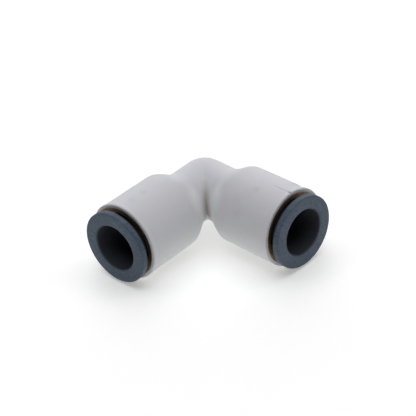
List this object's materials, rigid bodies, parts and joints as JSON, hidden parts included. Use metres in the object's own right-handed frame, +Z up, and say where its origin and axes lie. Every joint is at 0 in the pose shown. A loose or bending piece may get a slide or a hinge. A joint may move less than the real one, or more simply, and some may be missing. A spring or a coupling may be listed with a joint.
{
  "type": "push to connect fitting",
  "caption": "Right-angle push-in union for pneumatic tube: equal white barrels, each with a release button, guide collar, gripping collet and seal.",
  "frame": {"origin": "under the middle of the outline, on the surface that the elbow lies on", "axes": "+Z up through the flat-lying elbow, -Y out of port a and +X out of port b, so the bend is at -X +Y"},
  "size_m": [0.044, 0.044, 0.021],
  "materials": {
    "body": "white moulded plastic with a fine satin skin",
    "button": "blue-grey moulded plastic, fine satin",
    "collet": "black moulded plastic",
    "spacer": "natural cream moulded plastic",
    "seal": "black nitrile rubber, lightly greased",
    "collar_brass": "turned brass, dull brown with age",
    "grip_steel": "stamped stainless spring strip"
  },
  "bodies": {
    "fitting_body": {"elbow_body": "body", "tube_seal_a": "seal", "spacer_ring_a": "spacer", "guide_collar_a": "collar_brass", "tube_seal_b": "seal", "spacer_ring_b": "spacer", "guide_collar_b": "collar_brass"},
    "gripper_a": {"collet_a": "collet", "grip_ring_a": "grip_steel"},
    "button_a": {"release_button_a": "button"},
    "gripper_b": {"collet_b": "collet", "grip_ring_b": "grip_steel"},
    "button_b": {"release_button_b": "button"}
  },
  "joints": [
    {"name": "swivel_a", "type": "hinge", "parent": "fitting_body", "child": "gripper_a", "pos_m": [-0.0115, -0.0132, 0.0105], "axis": [0, -1, 0], "continuous": true},
    {"name": "release_a", "type": "slide", "parent": "gripper_a", "child": "button_a", "axis": [0, 1, 0], "range_m": [0, 0.0015], "stiffness_N_per_m": 200, "springref_m": -0.001},
    {"name": "swivel_b", "type": "hinge", "parent": "fitting_body", "child": "gripper_b", "pos_m": [0.0132, 0.0115, 0.0105], "axis": [1, 0, 0], "continuous": true},
    {"name": "release_b", "type": "slide", "parent": "gripper_b", "child": "button_b", "axis": [-1, 0, 0], "range_m": [0, 0.0015], "stiffness_N_per_m": 200, "springref_m": -0.001}
  ]
}
